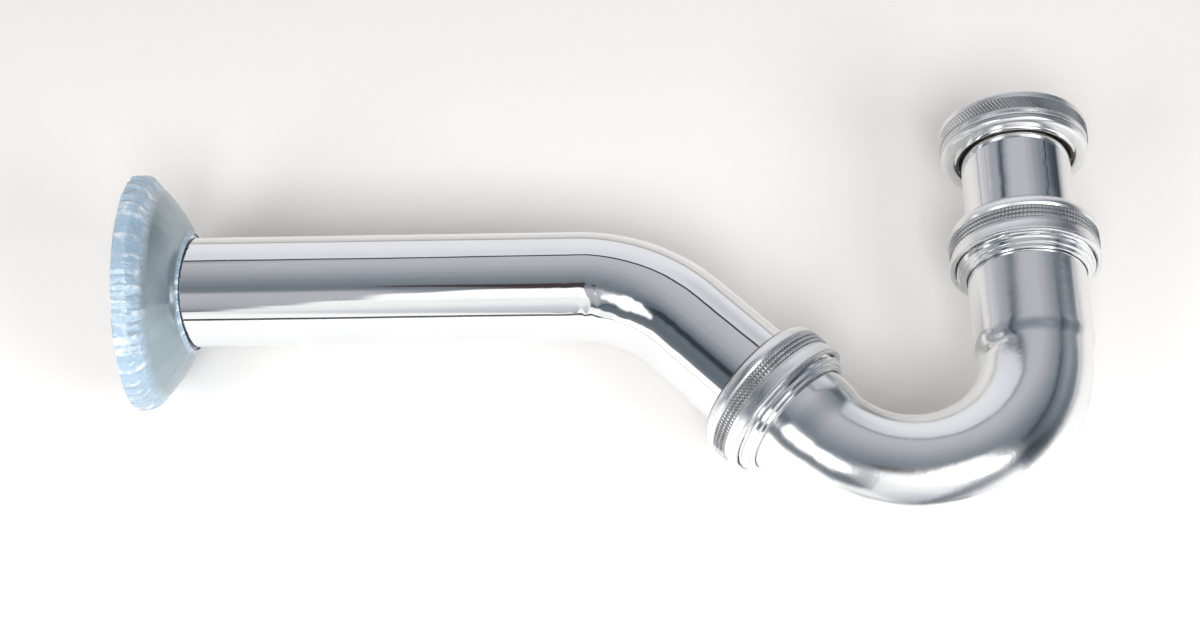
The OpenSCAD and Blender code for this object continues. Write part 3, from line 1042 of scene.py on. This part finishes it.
class TRAP_OT_studio(bpy.types.Operator):
    """Makes the pale sheet and floor, the soft lights and the camera"""

    bl_idname = "trap.studio"
    bl_label = "Studio"

    def execute(self, context):
        scene = context.scene
        ahead, right, up = camera_axes()
        eye = CAMERA_AIM - ahead * CAMERA_FAR
        lens = bpy.data.cameras.new("camera")
        lens.sensor_width = 36.0
        lens.lens = FOCAL_PIXELS / IMAGE_WIDTH * lens.sensor_width
        lens.clip_start, lens.clip_end = 0.01, 50.0
        cam = bpy.data.objects.new("camera", lens)
        scene.collection.objects.link(cam)
        pose = Matrix((right, up, -ahead)).transposed().to_4x4()
        pose.translation = eye * MM
        cam.matrix_world = pose
        scene.camera = cam

        gap = scene.trap_sizes.floor_gap / MM
        sky, power = 0.47, 1.9
        self.sheet("pale_sheet", gap, False)
        in_chrome = self.sheet("sheet_in_chrome", gap - 1.0, True)
        in_chrome.visible_camera = False
        in_chrome.visible_diffuse = False
        in_chrome.visible_shadow = False

        scene.view_settings.view_transform = "Standard"
        world = bpy.data.worlds.new("studio")
        scene.world = world
        world.use_nodes = True
        tree = world.node_tree
        tree.nodes.clear()
        maker = Maker(tree)
        output = maker.node("ShaderNodeOutputWorld")
        back = maker.node("ShaderNodeBackground", None, {"Color": (1.0, 0.985, 0.97, 1), "Strength": sky})
        tree.links.new(back.outputs[0], output.inputs["Surface"])

        aim = Vector((-110.0, 0.0, -50.0))
        self.lamp("lamp_right", aim, 42, -33, 850, 360, 1.6 * power)
        self.lamp("lamp_left", aim, -41, -31, 850, 360, 1.2 * power)
        self.lamp("fill_below", aim, 0, -39, 1500, 480, 7.0 * power)
        self.room()
        return {"FINISHED"}

    def lamp(self, name, aim, az, el, far, size, watts):
        """A soft square lamp that lights the sheet and the film; the room shows it in the chrome."""
        data = bpy.data.lights.new(name, "AREA")
        data.shape = "SQUARE"
        data.size = size * MM
        data.energy = watts
        a, e = math.radians(az), math.radians(el)
        z = Vector((math.sin(a) * math.cos(e), -math.cos(a) * math.cos(e), math.sin(e)))
        x = Vector((0, 0, 1)).cross(z).normalized()
        pose = Matrix((x, z.cross(x), z)).transposed().to_4x4()
        pose.translation = (aim + far * z) * MM
        obj = bpy.data.objects.new(name, data)
        obj.matrix_world = pose
        obj.visible_glossy = False
        bpy.context.scene.collection.objects.link(obj)

    def room(self):
        """The room on the camera's side, a dome of light that shows only in polished metal."""
        centre, far, step = Vector((0, 0, -50.0)), 2000.0, 0.8
        across = [-92 + step * i for i in range(int(184 / step) + 1)]
        upright = [-90 + step * j for j in range(int(180 / step) + 1)]
        rings = []
        for el in upright:
            e = math.radians(el)
            ring = []
            for az in across:
                a = math.radians(az)
                way = Vector((math.sin(a) * math.cos(e), -math.cos(a) * math.cos(e), math.sin(e)))
                ring.append((centre + far * way) * MM)
            rings.append(ring)
        bm = ring_grid(rings, False, False)
        mesh = bpy.data.meshes.new("room")
        bm.to_mesh(mesh)
        bm.free()
        shades = mesh.color_attributes.new("room_light", "FLOAT_COLOR", "POINT")
        colours = []
        for el in upright:
            for az in across:
                colours.extend((*room_light(az, el), 1.0))
        shades.data.foreach_set("color", colours)
        material = bpy.data.materials.new("room")
        material.use_nodes = True
        tree = material.node_tree
        tree.nodes.clear()
        maker = Maker(tree)
        shade = maker.node("ShaderNodeVertexColor", {"layer_name": "room_light"})
        light = maker.node("ShaderNodeEmission", None, {"Color": shade.outputs["Color"], "Strength": 1.0})
        output = maker.node("ShaderNodeOutputMaterial")
        tree.links.new(light.outputs[0], output.inputs["Surface"])
        mesh.materials.append(material)
        obj = bpy.data.objects.new("room", mesh)
        bpy.context.scene.collection.objects.link(obj)
        obj.visible_camera = False
        obj.visible_diffuse = False
        obj.visible_shadow = False

    def sheet(self, name, gap, dark_end):
        """A sheet behind the trap that curves forward into a floor far below, open to a camera behind it.

        Its dark end is the dark line low in the chrome.
        """
        finish = bpy.context.scene.trap_finish
        material = bpy.data.materials.new(name)
        material.use_nodes = True
        tree = material.node_tree
        tree.nodes.clear()
        maker = Maker(tree)
        output = maker.node("ShaderNodeOutputMaterial")
        where = maker.node("ShaderNodeTexCoord").outputs["Object"]
        up = Wire(maker, maker.node("ShaderNodeSeparateXYZ", None, {"Vector": where}).outputs["Z"])
        # Painted light: the sheet fades from the paler colour low down to the darker, warmer one high up, standing in
        # for the lamps below.
        high = maker.wire("ShaderNodeMapRange", {"interpolation_type": "SMOOTHSTEP"}, {"Value": up, "From Min": -0.20, "From Max": 0.10})
        colour = maker.mix(high, (*finish.sheet_painted_lit_low, 1), (*finish.sheet_tint, 1))
        if dark_end:
            deep = up.over(-1.25, -1.35) * (1 - up.over(-1.95, -2.05))
            colour = maker.mix(deep, colour, (0.03, 0.03, 0.028, 1))
        face = maker.node("ShaderNodeBsdfDiffuse", None, {"Color": colour})
        clear = maker.node("ShaderNodeBsdfTransparent")
        side = maker.wire("ShaderNodeNewGeometry", output="Backfacing")
        mixed = maker.node("ShaderNodeMixShader", None, {0: side})
        tree.links.new(face.outputs[0], mixed.inputs[1])
        tree.links.new(clear.outputs[0], mixed.inputs[2])
        tree.links.new(mixed.outputs[0], output.inputs["Surface"])
        half, top, low, bend, front = 3200.0, 2500.0, -2200.0, 250.0, -2800.0
        line = [(gap, top)] + [
            (gap - bend + bend * math.cos(a), low + bend - bend * math.sin(a))
            for a in [math.pi / 2 * k / 12 for k in range(13)]
        ]
        line.append((front, low))
        rings = [[Vector((x, y, z)) * MM for y, z in line] for x in (-half, half)]
        bm = ring_grid(rings, False, False)
        mesh = bpy.data.meshes.new(name)
        bm.to_mesh(mesh)
        bm.free()
        mesh.materials.append(material)
        mesh.shade_smooth()
        obj = bpy.data.objects.new(name, mesh)
        bpy.context.scene.collection.objects.link(obj)
        normal = mesh.polygons[0].normal
        if normal.y > 0:
            mesh.flip_normals()
        return obj


class TRAP_PT_panel(bpy.types.Panel):
    bl_idname = "TRAP_PT_panel"
    bl_label = "Trap"
    bl_space_type = "VIEW_3D"
    bl_region_type = "UI"
    bl_category = "Trap"

    def draw(self, context):
        for group in (context.scene.trap_sizes, context.scene.trap_finish):
            for name in group.__annotations__:
                self.layout.prop(group, name)
        for operator in OPERATORS:
            self.layout.operator(operator.bl_idname)


OPERATORS = (
    TRAP_OT_inlet,
    TRAP_OT_union,
    TRAP_OT_bend,
    TRAP_OT_joints,
    TRAP_OT_wall_tube,
    TRAP_OT_flange,
    TRAP_OT_studio,
)
CLASSES = (TrapSizes, TrapFinish, *OPERATORS, TRAP_PT_panel)


def register():
    for item in CLASSES:
        bpy.utils.register_class(item)
    bpy.types.Scene.trap_sizes = bpy.props.PointerProperty(type=TrapSizes)
    bpy.types.Scene.trap_finish = bpy.props.PointerProperty(type=TrapFinish)


def unregister():
    del bpy.types.Scene.trap_finish
    del bpy.types.Scene.trap_sizes
    for item in reversed(CLASSES):
        bpy.utils.unregister_class(item)


def main():
    register()
    for operator in OPERATORS:
        group, name = operator.bl_idname.split(".")
        getattr(getattr(bpy.ops, group), name)()


if __name__ == "__main__":
    main()
